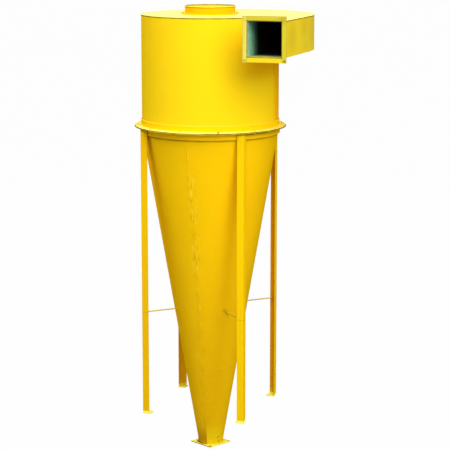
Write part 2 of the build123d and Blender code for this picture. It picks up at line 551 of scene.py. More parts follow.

# %% Marks on the enamel: grime and painted shade
# Grime with painted shade: a dark line under the roof's lip.
roof_grime_and_shade = (UP, roof_under - 3 * MM, 7 * MM, 0.75)
# Painted shadow on the cone under the lower ring's leg.
ring_shadow_line = (UP, ring_bottom - 9 * MM, 9 * MM, 0.40)
# A dark joint with painted shade in the gap between the two flanges.
joint_gap_and_shade = (UP, joint_height, 4.5 * MM, 0.95)
# Painted shadow on the legs' tops under the ring; a faint dark line also crosses each leg at the stay rods'
# height.
leg_top_shade = (UP, high("leg_front_right").z - 6 * MM, 12 * MM, 0.65)
leg_lines = [(UP, rod_height, 5 * MM, 0.25), leg_top_shade]
# Painted shade: the cone grows slightly darker towards its foot.
lower_cone_shade = (UP, low("dust_flange").z, 1.9, 0.07)
# Painted shadow under the gas outlet's rim.
rim_shadow_line = (UP, low("outlet_rim").z - 1 * MM, 5 * MM, 0.6)
top_of_rim = (UP, high("outlet_rim").z, 10 * MM, 0.7)
# Painted shade: two dark dots where the ring's leg meets the barrel at its sides.
joint_shade_dots = [
    (seen_at(barrel_radius + 4 * MM, degrees, ring_top - 3 * MM), 20 * MM, 1.0) for degrees in (-83, 83)
]
cone_scars = [
    (rod_root(-45), 15 * MM, 1.0),
    (rod_root(-45, -3.5, 14 * MM), 26 * MM, 0.35),
    (rod_root(-45, 3, -22 * MM), 18 * MM, 0.3),
    (rod_root(-135), 12 * MM, 0.5),
    (seen_at(cone_at(-0.24), 34, -0.235), 14 * MM, 0.45),
    (seen_at(cone_at(-0.22), 52, -0.215), 16 * MM, 0.4),
]
NECK_DIRT = [
    (-86, 2, 26, 1.0),
    (-74, 2, 18, 0.95),
    (-62, 2, 16, 0.9),
    (-50, 2, 16, 0.8),
    (-38, 2, 15, 0.7),
    (-26, 2, 13, 0.5),
    (40, 16, 17, 0.35),
    (58, 22, 15, 0.35),
]
spigot_scars = [
    (seen_at(spigot_radius, degrees, spigot_bottom + raised * MM), reach * MM, strength)
    for degrees, raised, reach, strength in NECK_DIRT
]
duct_patches = [
    ((scroll_right, -0.12, roof_under - 0.07), 0.14, 0.14),
    ((scroll_right, -0.09, roof_under - 0.19), 0.09, 0.10),
    ((scroll_right, -0.42, roof_under - 0.12), 0.16, 0.18),
    ((scroll_right, 0.08, roof_under - 0.12), 0.20, 0.16),
]
print(len(cone_scars + spigot_scars), "scars on the cone and its neck")

# %% [markdown]
# Some parts change colour over their length: the barrel carries painted shade under the duct
# and painted light just behind its seam, the cone has flecks along its own seam, a lemon neck
# and painted shade on the neck left of the seam, the lower ring has painted shadow under the
# flange on the duct's side, and each leg is pale at its foot. Such a change is a tint, a small
# function that the recipe calls before the grime and painted shade go over the colour.

# %% Tints of barrel, cone, ring, roof, scroll and legs


def barrel_tint(where, colour):
    """Painted shade in warm orange under the duct, painted light behind the seam, a dark seam line."""
    x, y, z = axes(where)
    this_side = ramp(x, 0.0, 0.1)
    seam_y = barrel_radius * sin(BARREL_SEAM)
    behind = times(ramp(y, seam_y + 2 * MM, seam_y + 5 * MM), this_side)
    fades = inverse(ramp(y, 0.10, 0.26))
    # Painted shade: the duct's shadow on the barrel, in warm orange.
    duct_shade_mask = times(ramp(x, 0.32, 0.46), ramp(z, 2.44, 2.62))
    side = mix_colour(duct_shade_mask, colour, (0.92, 0.48, 0.002, 1))
    # Painted light on the strip just behind the seam.
    seam_lit = mix_colour(times(behind, fades), side, (1.0, 0.50, 0.002, 1))
    line = line_mask(where, (0, 1, 0), seam_y - 7 * MM, 6 * MM, 0.4)
    return mix_colour(times(line, this_side), seam_lit, GRIME_AND_SHADE)


def cone_tint(where, colour):
    """Rough flecks along the seam, a lemon neck, and painted shade on the neck left of the seam."""
    y, z = axes(where)[1:]
    front = inverse(ramp(y, -0.09, -0.05))
    band = line_mask(where, sideways_of(cone_seam_at(1.4)), 0.0, 44 * MM, 1.0)
    below_top = inverse(ramp(z, 1.82, 1.93))
    fainter = calc("MULTIPLY_ADD", ramp(z, 0.95, 1.25), 0.65, 0.35)
    near = times(times(band, front), times(below_top, fainter))
    flecks = place_group(fleck_group, where, Strength=0.5)
    darker = mix_colour(times(near, flecks["Dark"]), colour, (0.60, 0.35, 0.002, 1))
    marked = mix_colour(times(near, flecks["Pale"]), darker, (1.0, 0.78, 0.04, 1))
    off_seam = along(where, sideways_of(cone_seam_at(spigot_bottom)))
    # Painted shade on the neck's left facet, left of the seam.
    shaded_left = inverse(ramp(off_seam, -2 * MM, 1 * MM))
    neck = inverse(ramp(z, -0.24, -0.10))
    lemon_neck = mix_colour(neck, marked, (0.99, 0.680, 0.006, 1))
    return mix_colour(times(shaded_left, neck), lemon_neck, (0.66, 0.360, 0.003, 1))


def ring_shade_tint(where, colour):
    """Painted shadow just under the joint's flange, on the duct's side only."""
    flange_shadow = line_mask(where, UP, joint_height - 12 * MM, 13 * MM, 0.7)
    this_side = ramp(axes(where)[0], 0.28, 0.42)
    return mix_colour(times(flange_shadow, this_side), colour, GRIME_AND_SHADE)


def base_tint(where, colour):
    """The ring on the roof takes the roof's painted sheen, apart from its front."""
    ahead = along(where, seen_at(1.0, 0, 0.0))
    return mix_colour(ramp(ahead, 0.04, 0.12), ROOF_SHEEN_YELLOW, colour)


def scroll_tint(where, colour):
    """The faded lemon of the duct turns into the barrel's yellow along the scroll."""
    return mix_colour(ramp(axes(where)[0], -0.30, 0.35), BARREL_YELLOW, colour)


def foot_tint(where, colour):
    """The lowest end of a leg is as pale as the plate under it."""
    return mix_colour(ramp(axes(where)[2], 14 * MM, 24 * MM), FLANGE_LEMON, colour)


# %% The enamels
leg_enamel = make_enamel("leg_enamel", LEG_YELLOW, lines=leg_lines, tint=foot_tint)
barrel_enamel = make_enamel(
    "barrel_enamel", BARREL_YELLOW, dents=0.004, lines=[roof_grime_and_shade], scars=joint_shade_dots, tint=barrel_tint
)
cone_enamel = make_enamel(
    "cone_enamel",
    WARM_YELLOW,
    dents=0.004,
    lines=[ring_shadow_line, lower_cone_shade],
    scars=cone_scars + spigot_scars,
    tint=cone_tint,
)
# The ring's upward faces get a painted pale sheen.
ring_enamel = make_enamel(
    "ring_enamel", RING_YELLOW, top_sheen=0.7, lines=[joint_gap_and_shade], scars=joint_shade_dots, tint=ring_shade_tint
)
# The flanges' outer rims are paler, a painted highlight.
rim_highlight_enamel = make_enamel("ring_rim_highlight_enamel", RIM_HIGHLIGHT_LEMON, lines=[joint_gap_and_shade])
duct_enamel = make_enamel(
    "faded_enamel", LEMON, gloss=0.02, dents=0.006, lines=[roof_grime_and_shade], scars=duct_patches, tint=scroll_tint
)
# The roof's near-white colour is a painted sheen.
roof_enamel = make_enamel("roof_sheen_enamel", ROOF_SHEEN_YELLOW, gloss=0.06, dust=0.05)
base_ring_enamel = make_enamel("base_ring_enamel", OUTLET_YELLOW, tint=base_tint)
outlet_enamel = make_enamel("outlet_enamel", OUTLET_YELLOW, lines=[rim_shadow_line])
# The gas outlet's rim is paler, a painted highlight.
outlet_rim_enamel = make_enamel("outlet_rim_enamel", RIM_HIGHLIGHT_LEMON, lines=[rim_shadow_line])
outlet_inside = make_enamel("outlet_inside_enamel", OUTLET_INSIDE, lines=[top_of_rim])
# The rods' dark olive colour is painted shade.
rod_enamel = make_enamel("rod_enamel", ROD_SHADED_YELLOW)
print(len(bpy.data.materials), "materials so far")

# %% [markdown]
# Each bar of the inlet's frame has a colour of its own, and grime sits in the butt joints at its
# corners and round the bolt holes. So each bar has the recipe once more, with its own colour.

# %% Enamels of the inlet's frame
BAR_COLOURS = {
    "top": (0.59, 0.500, 0.033, 1),
    "bottom": (0.82, 0.600, 0.018, 1),
    "inner": (0.70, 0.620, 0.085, 1),
    "outer": (0.58, 0.490, 0.026, 1),
}
ACROSS_X = (1, 0, 0)
HOLE_INSET = 13 * MM
frame_left = low("duct_inner_wall").x
frame_right = high("duct_outer_wall").x
bars_left = low("inlet_flange_inner").x
bars_right = high("inlet_flange_outer").x
hole_left = bars_left + HOLE_INSET
hole_right = bars_right - HOLE_INSET
hole_low = low("inlet_flange_inner").z + HOLE_INSET
hole_high = high("inlet_flange_inner").z - HOLE_INSET
butt_joints = [
    (ACROSS_X, frame_left, 2.5 * MM, 0.6),
    (ACROSS_X, frame_right, 2.5 * MM, 0.6),
    (UP, roof_top + 1 * MM, 2.5 * MM, 0.5),
    (ACROSS_X, bars_left, 4 * MM, 0.5),
    (ACROSS_X, bars_right, 4 * MM, 0.35),
    (UP, high("inlet_flange_top").z, 4 * MM, 0.5),
    (UP, low("inlet_flange_bottom").z, 3 * MM, 0.25),
]
hole_grime = [
    ((hole_right, mouth_y, hole_low), 13 * MM, 0.8),
    ((hole_left, mouth_y, hole_low), 13 * MM, 0.7),
    ((hole_right, mouth_y, hole_high), 11 * MM, 0.4),
    ((hole_left, mouth_y, hole_high), 12 * MM, 0.6),
    ((frame_right, mouth_y, roof_top + 6 * MM), 55 * MM, 0.2),
]
bar_enamels = {
    bar: make_enamel("frame_enamel_" + bar, colour, gloss=0.02, lines=butt_joints, scars=hole_grime)
    for bar, colour in BAR_COLOURS.items()
}
print("bars painted:", *bar_enamels)

# %% [markdown]
# The inside of the sheet was only primed, grey-green, with yellow overspray on the duct's
# floor. Its colour is paler just behind the mouth, a painted light, and further in it fades
# to near black, a painted shade, with the distance along Y.

# %% Primer on the inside of the sheet
SHADE_DEPTH = 0.27
LIT_EDGE_DEPTH = 0.05
DEEP_SHADE_BLACK = (0.004, 0.008, 0.005, 1)
STAIN = (0.03, 0.04, 0.03, 1)


def make_primer(name, colour, lit_edge_colour):
    """Matt primer with painted light at the mouth and painted shade, near black, away from it."""
    material, inputs, where = new_paint(name)
    depth = axes(where)[1]
    lit_edge_end = mouth_y + LIT_EDGE_DEPTH
    lit_primer = mix_colour(ramp(depth, mouth_y, lit_edge_end), lit_edge_colour, colour)
    shaded_primer = mix_colour(ramp(depth, lit_edge_end, mouth_y + SHADE_DEPTH), lit_primer, DEEP_SHADE_BLACK)
    patchy = times(ramp(grain(where, 22.0, 4.0), 0.35, 0.75), 0.3)
    feed(inputs["Base Color"], mix_colour(patchy, shaded_primer, STAIN))
    inputs["Roughness"].default_value = 0.8
    inputs["Specular IOR Level"].default_value = 0.1
    return material


primer = make_primer("inside_primer", (0.22, 0.52, 0.34, 1), (0.44, 0.58, 0.50, 1))
floor_primer = make_primer("floor_primer", (0.53, 0.50, 0.10, 1), (0.58, 0.51, 0.13, 1))
print("materials", primer.name, "and", floor_primer.name)

# %% [markdown]
# A piece made here joins the machine in the same few steps each time: the mesh becomes an
# object at the origin, its faces are smoothed up to an angle, it rides on the machine's one
# body, and it takes the place of the CAD nodes that it stands for.

# %% Helpers for pieces
SMOOTH_ANGLE = radians(35)
DOUBLE = 0.01 * MM
EASE_WIDTH = 0.8 * MM
STEPS = 160


def finish_piece(name, bm, materials, stands_for=()):
    """Object from a bmesh, riding on the root and replacing CAD nodes."""
    mesh = bpy.data.meshes.new(name)
    bm.to_mesh(mesh)
    bm.free()
    for polygon in mesh.polygons:
        polygon.use_smooth = True
    mesh.set_sharp_from_angle(angle=SMOOTH_ANGLE)
    piece = bpy.data.objects.new(name, mesh)
    bpy.context.scene.collection.objects.link(piece)
    for material in materials:
        mesh.materials.append(material)
    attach(piece, "root")
    if stands_for:
        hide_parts(*stands_for)
    print(name, "has", len(mesh.polygons), "faces")
    return piece


def paint_faces(bm, test, slot=1):
    """Another material, the second unless a slot is given, on the faces that pass a test."""
    for face in bm.faces:
        if test(face):
            face.material_index = slot


def soften(node, name, materials, inside=None, worn=None):
    """Copy of a CAD node with its triangles merged, flats joined and edges eased."""
    bm = bmesh.new()
    bm.from_mesh(nodes[node].data)
    bmesh.ops.remove_doubles(bm, verts=bm.verts, dist=DOUBLE)
    bmesh.ops.dissolve_limit(bm, angle_limit=radians(1), verts=bm.verts, edges=bm.edges)
    for slot, test in ((1, inside), (2, worn)):
        if test:
            paint_faces(bm, test, slot)
    bevel = finish_piece(name, bm, materials, [node]).modifiers.new("eased_edges", "BEVEL")
    bevel.width = EASE_WIDTH
    bevel.segments = 2
    bevel.limit_method = "ANGLE"
    bevel.angle_limit = radians(40)
    bevel.harden_normals = True


def turned(bm, profile, closed=True):
    """Spin a profile of radius and height pairs round the axis."""
    verts = [bm.verts.new((radius, 0, height)) for radius, height in profile]
    edges = [bm.edges.new(pair) for pair in zip(verts, verts[1:])]
    if closed:
        edges.append(bm.edges.new((verts[-1], verts[0])))
    bmesh.ops.spin(
        bm, geom=verts + edges, cent=(0, 0, 0), axis=UP, angle=2 * pi, steps=STEPS, use_merge=True
    )
    bmesh.ops.remove_doubles(bm, verts=bm.verts, dist=DOUBLE)
    bmesh.ops.recalc_face_normals(bm, faces=bm.faces)


# %% [markdown]
# Rolled sheet is never a perfect cylinder. It has slow waves of about a millimetre, and the
# two edges meet at the seam in a slight peak. The barrel and cone are spun as a single skin
# with many rows, pushed in and out a little, and then thickened to the real sheet.

# %% Waves in the sheet
WAVE = 0.9 * MM
SEAM_PEAK = 1.6 * MM
SEAM_WIDTH = 26 * MM
HELD_EDGE = 0.09


def levels(low_z, high_z, count):
    """Heights from one to another in equal steps."""
    return [low_z + (high_z - low_z) * i / count for i in range(count + 1)]


def push_sheet(bm, low_z, high_z, seam_turn, peak=1.0):
    """Waves in a spun skin and a peak along its seam, both held back near its edges."""
    for vert in bm.verts:
        x, y, z = vert.co
        hold = max(0.0, min(1.0, min(z - low_z, high_z - z) / HELD_EDGE))
        turn = atan2(y, x)
        wave = noise.noise(Vector((2.2 * cos(turn), 2.2 * sin(turn), 1.4 * z)))
        off_seam = (turn - seam_turn(z) + pi) % (2 * pi) - pi
        across = off_seam * hypot(x, y) / SEAM_WIDTH
        push = WAVE * wave + peak * SEAM_PEAK * exp(-across * across)
        vert.co += Vector((x, y, 0)).normalized() * push * hold


def thicken(bm, centre, depth):
    """Turn a skin's faces away from an upright axis and give it a wall inside."""
    outward = sum(face.normal.dot((face.calc_center_median() - centre).xy.to_3d()) for face in bm.faces)
    if outward < 0:
        bmesh.ops.reverse_faces(bm, faces=bm.faces)
    bmesh.ops.solidify(bm, geom=list(bm.faces), thickness=depth)
    bm.normal_update()


def faces_axis(face):
    """True for a face that looks towards the vessel's axis."""
    centre = face.calc_center_median()
    return face.normal.x * centre.x + face.normal.y * centre.y < -0.3 * hypot(centre.x, centre.y)


# %% Barrel
LEVELS_BELOW = 14
LEVELS_BESIDE = 6

bm = bmesh.new()
heights = levels(joint_height, duct_floor_top, LEVELS_BELOW)
heights += levels(duct_floor_top, roof_under, LEVELS_BESIDE)[1:]
turned(bm, [(barrel_radius, height) for height in heights], closed=False)
far_side = [face for face in bm.faces if face.calc_center_median().x < 0]
far_geom = far_side + list({edge for face in far_side for edge in face.edges})
far_geom += list({vert for face in far_side for vert in face.verts})
bmesh.ops.bisect_plane(bm, geom=far_geom, plane_co=(0, scroll_start_y, 0), plane_no=(0, 1, 0))
window = []
for face in bm.faces:
    centre = face.calc_center_median()
    window_starts = scroll_start_y if centre.x < 0 else 0.0
    if centre.z > duct_floor_top and centre.y > window_starts:
        window.append(face)
bmesh.ops.delete(bm, geom=window, context="FACES")
push_sheet(bm, joint_height, duct_floor_under, lambda height: BARREL_SEAM)
thicken(bm, Vector(), sheet)
paint_faces(bm, faces_axis)
finish_piece("barrel_sheet", bm, [barrel_enamel, primer], ["barrel_shell"])

# %% Cone
CONE_LEVELS = 70
CONE_PEAK_SHARE = 0.5

bm = bmesh.new()
heights = levels(spigot_top, joint_height, CONE_LEVELS)
turned(bm, [(cone_at(height), height) for height in heights], closed=False)
push_sheet(bm, spigot_top, joint_height, cone_seam_at, CONE_PEAK_SHARE)
thicken(bm, Vector(), sheet)
paint_faces(bm, faces_axis)
finish_piece("cone_sheet", bm, [cone_enamel, primer], ["cone_upper", "cone_lower"])

# %% Neck and gas outlet
EASE_SHARE = 0.3


def rolled_tube(name, node, wall, materials):
    """Rolled tube with eased rims, at a CAD node's radius and heights."""
    radius, low_z, high_z = high(node).x, low(node).z, high(node).z
    ease = wall * EASE_SHARE
    inner = radius - wall
    profile = [
        (radius, low_z + ease),
        (radius, high_z - ease),
        (radius - ease, high_z),
        (inner + ease, high_z),
        (inner, high_z - ease),
        (inner, low_z + ease),
        (inner + ease, low_z),
        (radius - ease, low_z),
    ]
    bm = bmesh.new()
    turned(bm, profile)
    if len(materials) > 1:
        paint_faces(bm, faces_axis)
    finish_piece(name, bm, materials, [node])


rolled_tube("dust_neck", "dust_spigot", sheet, [cone_enamel, primer])
rolled_tube("gas_outlet_pipe", "outlet_pipe", sheet, [outlet_enamel, outlet_inside])
rolled_tube("gas_outlet_rim", "outlet_rim", high("outlet_rim").x - outlet_radius, [outlet_rim_enamel])
base_radius = high("outlet_base_ring").x
rolled_tube("gas_outlet_base", "outlet_base_ring", base_radius - outlet_radius, [base_ring_enamel])

# %% Scroll
SCROLL_LEVELS = 5

bm = bmesh.new()
heights = levels(duct_floor_top, roof_under, SCROLL_LEVELS)
verts = [bm.verts.new((scroll_right, scroll_start_y, height)) for height in heights]
edges = [bm.edges.new(pair) for pair in zip(verts, verts[1:])]
bmesh.ops.spin(bm, geom=verts + edges, cent=scroll_centre, axis=UP, angle=pi, steps=STEPS // 2)
thicken(bm, scroll_centre, sheet)
paint_faces(bm, lambda face: face.normal.dot(face.calc_center_median() - scroll_centre) < 0)
finish_piece("scroll_sheet", bm, [duct_enamel, primer], ["scroll_wall"])

# %% [markdown]
# Rolled angle has a rounded root and eased toes. A profile with a few extra points gives
# both, and one spin makes the ring.

# %% Ring angles of the joint
RING_T = 5 * MM
RING_LEG = 50 * MM
RING_ROOT = 5.5 * MM
RING_TOE = 1.2 * MM
ROOT_STEPS = 4


def ring_profile(inner, outer, side, leg_z):
    """Angle section: flange out at the joint, leg along the wall, root rounded."""
    flange_z = joint_height + side * RING_T
    wall = inner + RING_T
    root = []
    for i in range(ROOT_STEPS + 1):
        turn = pi / 2 * i / ROOT_STEPS
        rise = RING_ROOT - RING_ROOT * cos(turn)
        root.append((wall + RING_ROOT - RING_ROOT * sin(turn), flange_z + side * rise))
    return [
        (inner, joint_height),
        (outer - RING_TOE, joint_height),
        (outer, joint_height + side * RING_TOE),
        (outer, flange_z - side * RING_TOE),
        (outer - RING_TOE, flange_z),
        *root,
        (wall, leg_z - side * RING_TOE),
        (wall - RING_TOE, leg_z),
        (inner + RING_TOE, leg_z),
        (inner, leg_z - side * RING_TOE),
    ]


def make_ring(name, node, side):
    """One ring of rolled angle in the place of its CAD node."""
    outer = min(high(node).x, -low(node).x)
    leg_z = high(node).z if side > 0 else low(node).z
    bm = bmesh.new()
    turned(bm, ring_profile(outer - RING_LEG, outer, side, leg_z))
    # The flange's outer rim takes the paler enamel, a painted highlight.
    rim_from = outer - 2 * RING_TOE
    paint_faces(bm, lambda face: face.calc_center_median().xy.length > rim_from and face.normal.z > -0.5)
    finish_piece(name, bm, [ring_enamel, rim_highlight_enamel], [node])


make_ring("joint_ring_above", "upper_ring_angle", 1)
make_ring("joint_ring_below", "lower_ring_angle", -1)

# %% [markdown]
# Plates, bars and legs already have their right shape in CAD, down to the holes. A sprayed
# edge is never sharp, though, so each is copied, its triangles are merged into whole faces
# again, and a small bevel eases the edges. Faces that look into the gas are only primed.

# %% Softened flat pieces
FACING = 0.7


def looks(direction):
    """Test for faces that look one way, as a sheet's inner side does."""
    return lambda face: face.normal.dot(Vector(direction)) > FACING


def at_mouth(face):
    """True for a sheet's end face in the plane of the mouth."""
    return face.normal.y < -FACING and face.calc_center_median().y < mouth_y + sheet


# Dark enamel for grime and painted shade on edges: sheet ends at the mouth, inlet welds, flange edge.
edge_grime_and_shade = make_enamel("grime_and_shade_edge", (0.16, 0.12, 0.02, 1), dust=0.4)
GAS_SHEETS = {
    "roof_plate": ("roof_sheet", roof_enamel, primer, (0, 0, -1)),
    "scroll_floor": ("scroll_floor_sheet", duct_enamel, floor_primer, (0, 0, 1)),
    "duct_inner_wall": ("duct_inner_sheet", duct_enamel, primer, (1, 0, 0)),
    "duct_outer_wall": ("duct_outer_sheet", duct_enamel, primer, (-1, 0, 0)),
}
for node, (name, outside, within, direction) in GAS_SHEETS.items():
    soften(node, name, [outside, within, edge_grime_and_shade], looks(direction), at_mouth)
for bar, bar_enamel in bar_enamels.items():
    soften("inlet_flange_" + bar, "inlet_bar_" + bar, [bar_enamel])

# %% [markdown]
# Each leg has a colour of its own, the two right ones palest and the front left one darkest.
# On the back right leg the face that looks forward, where the cone shades it, gets a deep
# orange enamel, a painted shade. The foot plates and the leg's end on them are as pale as the
# flange under the neck.

# %% Legs, feet and rods
LEG_COLOURS = {
    "leg_front_right": (0.96, 0.620, 0.003, 1),
    "leg_back_right": (0.96, 0.620, 0.006, 1),
    "leg_back_left": LEG_YELLOW,
    "leg_front_left": (0.85, 0.500, 0.003, 1),
}
SHADED_SIDE = (0.79, 0.385, 0.002, 1)
shaded_side_enamel = make_enamel("shaded_side_leg_enamel", SHADED_SIDE, lines=leg_lines, tint=foot_tint)
for node, colour in LEG_COLOURS.items():
    own_enamel = make_enamel(node + "_enamel", colour, lines=leg_lines, tint=foot_tint)
    # Painted shade on the forward face of the back right leg.
    shaded_side = looks((0, -1, 0)) if node == "leg_back_right" else None
    soften(node, node + "_painted", [own_enamel, shaded_side_enamel], shaded_side)
foot_enamel = make_enamel("foot_enamel", FLANGE_LEMON)
for node in nodes:
    if node.startswith("foot_plate_"):
        soften(node, node + "_painted", [foot_enamel])
    elif node.startswith("stay_rod_"):
        soften(node, node + "_painted", [rod_enamel])

# %% [markdown]
# The square plate under the neck is the lowest part and the palest; its pale top is partly
# a painted highlight. Its left edge gets painted shade, and dirt lies round its front hole and
# along the foot of the neck.

# %% Flange of the dust outlet
FLANGE_CORNER = radians(18.5) - pi / 2
HOLE_RADIUS = 129.4 * MM
front_hole = on_wall(HOLE_RADIUS, FLANGE_CORNER, high("dust_flange").z)
left_edge = on_wall(1.0, FLANGE_CORNER - pi / 4, 0)
flange_scars = spigot_scars + [(front_hole, 22 * MM, 1.0)]
# Pale lemon top, partly a painted highlight.
flange_enamel = make_enamel("dust_flange_enamel", FLANGE_LEMON, scars=flange_scars)
soften("dust_flange", "dust_flange_plate", [flange_enamel, edge_grime_and_shade], looks(left_edge))

# %% [markdown]
# A weld is a row of small overlapping puddles. Each bead starts as a ring of a few points,
# spun or drawn along the joint in short steps, and each step is then a little fatter or
# thinner than the one before.

# %% Helpers for weld beads
RIPPLE = 0.16
RIPPLE_PITCH = 4.5 * MM
BEAD_SIDES = 8


def ripple(along_bead, seed, radius, to_end):
    """Thickness of a bead at a distance along it, as a factor, less towards an open end."""
    wave = sin(2 * pi * along_bead / RIPPLE_PITCH)
    drift = noise.noise(Vector((along_bead * 60, seed * 7.3, 0)))
    return (1 + RIPPLE * wave + 1.6 * RIPPLE * drift) * min(1.0, to_end / (1.5 * radius) + 0.35)


def add_to(bm, part, place):
    """Move one finished bmesh to its place in another."""
    bmesh.ops.transform(part, matrix=place, verts=part.verts)
    carrier = bpy.data.meshes.new("carrier")
    part.to_mesh(carrier)
    part.free()
    bm.from_mesh(carrier)
    bpy.data.meshes.remove(carrier)


def bead_line(bm, start, end, radius, seed, step=1.5 * MM, wander=0.0, flat=1.0):
    """Bead between two points, closed at both ends; flat under 1 lowers it on the sheet."""
    run = end - start
    length = run.length
    one = bmesh.new()
    bmesh.ops.create_cone(
        one, cap_ends=True, segments=BEAD_SIDES, radius1=radius, radius2=radius, depth=length
    )
    long_edges = [edge for edge in one.edges if abs(edge.verts[0].co.z - edge.verts[1].co.z) > length / 2]
    bmesh.ops.subdivide_edges(one, edges=long_edges, cuts=max(2, int(length / step)), use_grid_fill=True)
    sideways = Vector((noise.noise(run * 40), 1, 0))
    for vert in one.verts:
        along_bead = vert.co.z + length / 2
        factor = ripple(along_bead, seed, radius, min(along_bead, length - along_bead))
        vert.co.x *= factor
        vert.co.y *= factor
        vert.co += sideways * wander * noise.noise(Vector((along_bead * 22, seed * 3.1, 5)))
    turn = run.to_track_quat("Z", "Y").to_matrix().to_4x4()
    squashed = Matrix.Scale(flat, 4, turn.inverted() @ Vector((start.x, start.y, 0)).normalized())
    add_to(bm, one, Matrix.Translation((start + end) / 2) @ turn @ squashed)


def bead_ring(bm, radius, height, thickness, seed, steps, start=0.0, sweep=2 * pi, place=Matrix()):
    """Bead round the axis at a radius and height; a stitch where the sweep isn't whole."""
    whole = sweep > 2 * pi - 1e-6
    one = bmesh.new()
    bmesh.ops.create_circle(one, cap_ends=not whole, segments=BEAD_SIDES, radius=thickness)
    upright = Matrix.Translation((radius, 0, height)) @ Matrix.Rotation(pi / 2, 4, "X")
    bmesh.ops.transform(one, matrix=upright, verts=one.verts)
    geom = one.verts[:] + one.edges[:] + one.faces[:]
    bmesh.ops.spin(one, geom=geom, cent=(0, 0, 0), axis=UP, angle=sweep, steps=steps, use_merge=whole)
    for vert in one.verts:
        turn = atan2(vert.co.y, vert.co.x) % (2 * pi)
        core = on_wall(radius, turn, height)
        to_end = 2 * pi * radius
        if not whole:
            turn = 0.0 if turn > pi + sweep / 2 else turn
            to_end = min(turn, max(0.0, sweep - turn)) * radius
        vert.co = core + (vert.co - core) * ripple(turn * radius, seed, thickness, to_end)
    add_to(bm, one, place @ Matrix.Rotation(start, 4, "Z"))


def weld_piece(name, bm, material):
    """Finished piece from a bmesh full of beads."""
    bmesh.ops.remove_doubles(bm, verts=bm.verts, dist=DOUBLE)
    bmesh.ops.recalc_face_normals(bm, faces=bm.faces)
    finish_piece(name, bm, [material])


# %% Welds of the barrel
SEAM_BEAD = 2.6 * MM
FILLET_BEAD = 3.2 * MM
STITCHES = 16
STITCH_LENGTH = 45 * MM
STITCH_OUT = 1.2 * MM

bm = bmesh.new()
seam_out = barrel_radius + SEAM_PEAK * 0.6
seam_foot = on_wall(seam_out, BARREL_SEAM, ring_top)
bead_line(bm, seam_foot, on_wall(seam_out, BARREL_SEAM, duct_floor_under), SEAM_BEAD, 1)
sweep = STITCH_LENGTH / barrel_radius
for index in range(STITCHES):
    start = 2 * pi * (index + 0.5) / STITCHES - sweep / 2
    bead_ring(bm, barrel_radius + STITCH_OUT, ring_top, FILLET_BEAD, index, 30, start, sweep)
weld_piece("barrel_welds", bm, barrel_enamel)

# %% Welds of the cone
SHEET_BEAD = 1.4 * MM
CONE_BEAD = 2.4 * MM
SEAM_CAP = 4.2 * MM
CAP_LIFT = 0.4 * MM
CAP_STEP = 2.5 * MM
CAP_FLAT_SHARE = 0.36
WANDER = 5 * MM
SEAM_PARTS = 16

bm = bmesh.new()
seam_levels = levels(joint_height - RING_LEG - 8 * MM, spigot_top, SEAM_PARTS)
for part, (upper, lower) in enumerate(zip(seam_levels, seam_levels[1:])):
    above = on_cone(upper, cone_seam_at(upper), CAP_LIFT)
    below = on_cone(lower, cone_seam_at(lower), CAP_LIFT)
    bead_line(bm, above, below, SEAM_CAP, 21 + part, step=CAP_STEP, wander=WANDER, flat=CAP_FLAT_SHARE)
bead_ring(bm, cone_at(cone_weld_height), cone_weld_height, SHEET_BEAD, 22, 420)
bead_ring(bm, spigot_radius, spigot_top, CONE_BEAD, 23, 240)
bead_ring(bm, spigot_radius, spigot_bottom, FILLET_BEAD, 24, 240)
neck_turn = cone_seam_at(spigot_bottom)
neck_top = on_wall(spigot_radius, neck_turn, spigot_top)
neck_low = on_wall(spigot_radius, neck_turn, spigot_bottom + FILLET_BEAD)
bead_line(bm, neck_top, neck_low, SEAM_CAP * 0.7, 25, flat=CAP_FLAT_SHARE)
weld_piece("cone_welds", bm, cone_enamel)

# %% [markdown]
# Beside the seam the sheet was patched and dressed by hand in short upright runs. They are
# laid with the same helper at seeded places, along the stretch where the photograph shows
# the roughest seam.

# %% Repairs beside the cone's seam
REPAIRS = 64
REPAIR_LIFT = 0.3 * MM
chance = random.Random(11)
bm = bmesh.new()
for number in range(REPAIRS):
    height = chance.uniform(0.95, 1.95)
    length = chance.uniform(12, 42) * MM
    sideways = chance.gauss(0, 11 * MM) / cone_at(height)
    slant = chance.gauss(0, 3 * MM) / cone_at(height)
    turn = cone_seam_at(height) + sideways
    upper = on_cone(height + length, turn + slant, REPAIR_LIFT)
    lower = on_cone(height, turn, REPAIR_LIFT)
    thickness = chance.uniform(2.6, 4.6) * MM
    bead_line(bm, upper, lower, thickness, 100 + number, step=CAP_STEP, flat=CAP_FLAT_SHARE)
weld_piece("cone_seam_repairs", bm, cone_enamel)

# %% [markdown]
# Each thin rod is held by a small bead all round at the cone and another at its leg. The
# ring of the bead is made lying level round the axis and then stood up on the rod.

# %% Welds of the stay rods
CORNERS = ("back_right", "back_left", "front_left", "front_right")
bm = bmesh.new()
ROOT_BEAD = 3.0 * MM
LEG_BEAD = 2.2 * MM
ROD_R = (high("stay_rod_front_right").z - low("stay_rod_front_right").z) / 2
for number, name in enumerate(CORNERS):
    turn = radians(45 + 90 * number)
    rod_low, rod_high = low("stay_rod_" + name), high("stay_rod_" + name)
    reach = max(abs(rod_low.x), abs(rod_high.x)) * sqrt(2) - 2 * MM
    for radius, bead in ((cone_at(rod_height) + 1 * MM, ROOT_BEAD), (reach - ROD_R, LEG_BEAD)):
        lying = Matrix.Translation((radius, 0, rod_height)) @ Matrix.Rotation(pi / 2, 4, "Y")
        tip = Matrix.Rotation(turn, 4, "Z") @ lying
        bead_ring(bm, ROD_R + 0.6 * MM, 0.0, bead, 130 + number, 28, place=tip)
weld_piece("rod_welds", bm, cone_enamel)

